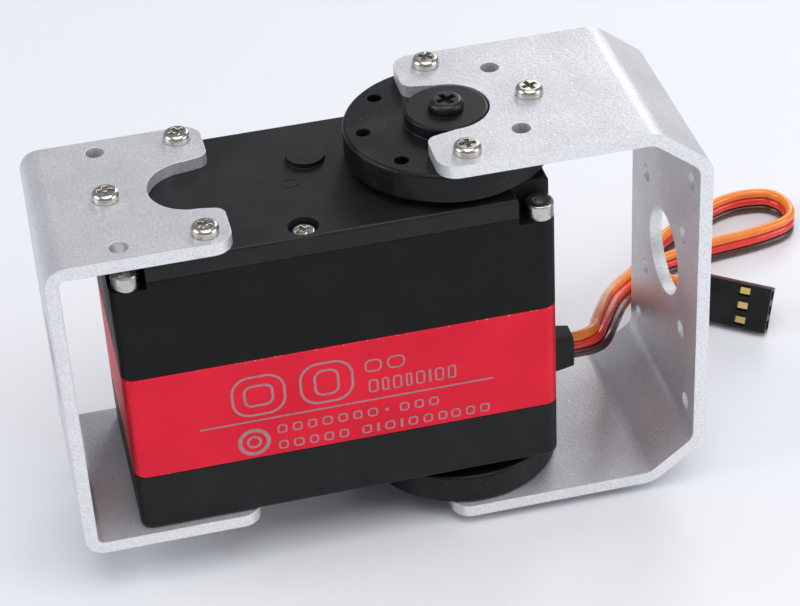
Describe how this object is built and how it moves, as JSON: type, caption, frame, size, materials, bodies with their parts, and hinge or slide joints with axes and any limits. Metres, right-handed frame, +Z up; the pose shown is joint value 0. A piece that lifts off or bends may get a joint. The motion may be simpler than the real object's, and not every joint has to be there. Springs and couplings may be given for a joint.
{
  "type": "pan tilt camera mount",
  "caption": "Servo-driven joint for a camera mount: a fixed metal bracket round the servo's far end and a long metal yoke that swings on its output disc and idler disc.",
  "frame": {"origin": "Middle of the footprint of the servo and its two brackets, on the table under the lowest screw heads.", "axes": "+X runs along the servo from the short bracket's back to the yoke's back, +Z is up along the output shaft, and +Y completes the frame."},
  "size_m": [0.1368, 0.0716, 0.0676],
  "materials": {
    "bracket_metal": "matte",
    "anodised_red": "satin",
    "black_plastic": "matte",
    "disc_black": "satin",
    "nickel_screw": "polished",
    "black_screw": "satin",
    "gear_steel": "satin",
    "bearing_steel": "polished",
    "motor_steel": "satin",
    "magnet": "matte",
    "armature": "satin",
    "copper": "satin",
    "board_green": "satin",
    "component_black": "satin",
    "contact_gold": "polished",
    "boot_rubber": "matte",
    "lead_jacket": "satin",
    "plug_black": "satin"
  },
  "bodies": {
    "servo": {"short_bracket": "bracket_metal", "middle_case": "anodised_red", "top_cover": "black_plastic", "gear_housing": "black_plastic", "bottom_cover": "black_plastic", "motor_end_cap": "black_plastic", "top_corner_screws": "nickel_screw", "bottom_corner_screws": "nickel_screw", "short_bracket_screws_top": "nickel_screw", "short_bracket_screws_bottom": "nickel_screw", "side_case_screw": "nickel_screw", "idler_screw": "black_screw", "gear_axle_1": "gear_steel", "gear_axle_2": "gear_steel", "gear_axle_3": "gear_steel", "motor_mount_screws": "gear_steel", "upper_bearing_outer": "bearing_steel", "lower_bearing_outer": "bearing_steel", "idler_bearing_inner": "bearing_steel", "motor_can": "motor_steel", "motor_magnets": "magnet", "motor_brushes": "magnet", "motor_terminals": "copper", "circuit_board": "board_green", "board_components": "component_black", "board_spacers": "component_black", "position_sensor": "component_black", "strain_relief": "boot_rubber", "servo_lead": "lead_jacket"},
    "yoke": {"yoke_bracket": "bracket_metal", "yoke_screws_top": "nickel_screw", "yoke_screws_bottom": "nickel_screw", "output_horn": "disc_black", "horn_screw": "black_screw", "output_shaft": "gear_steel", "output_gear": "gear_steel", "upper_bearing_inner": "bearing_steel", "lower_bearing_inner": "bearing_steel", "idler_disc": "disc_black", "idler_bearing_outer": "bearing_steel", "sensor_shaft": "gear_steel", "connector_housing": "plug_black", "connector_contacts": "contact_gold"},
    "gear_3": {"gear_3": "gear_steel"},
    "gear_2": {"gear_2": "gear_steel"},
    "gear_1": {"gear_1": "gear_steel"},
    "rotor": {"motor_shaft": "gear_steel", "motor_pinion": "gear_steel", "motor_armature": "armature", "motor_commutator": "copper"}
  },
  "joints": [
    {"name": "yoke_pan", "type": "hinge", "parent": "servo", "child": "yoke", "pos_m": [0.013, 0, 0.0102], "axis": [0, 0, 1], "range_deg": [-90, 90], "deforming": ["servo_lead"]},
    {"name": "gear_3_spin", "type": "hinge", "parent": "servo", "child": "gear_3", "pos_m": [0.00025, 0, 0.0102], "axis": [0, 0, 1], "range_deg": [-220, 220]},
    {"name": "gear_2_spin", "type": "hinge", "parent": "servo", "child": "gear_2", "pos_m": [-0.01055, 0.0045, 0.0102], "axis": [0, 0, 1], "range_deg": [-630, 630]},
    {"name": "gear_1_spin", "type": "hinge", "parent": "servo", "child": "gear_1", "pos_m": [-0.01725, -0.00258, 0.0102], "axis": [0, 0, 1], "range_deg": [-1820, 1820]},
    {"name": "motor_spin", "type": "hinge", "parent": "servo", "child": "rotor", "pos_m": [-0.0265, 0, 0.0102], "axis": [0, 0, 1], "range_deg": [-6910, 6910]}
  ],
  "couplings": [
    {"joint": "gear_3_spin", "follows": "yoke_pan", "ratio": -2.4},
    {"joint": "gear_2_spin", "follows": "yoke_pan", "ratio": 6.96},
    {"joint": "gear_1_spin", "follows": "yoke_pan", "ratio": -20.184},
    {"joint": "motor_spin", "follows": "yoke_pan", "ratio": 76.699}
  ]
}
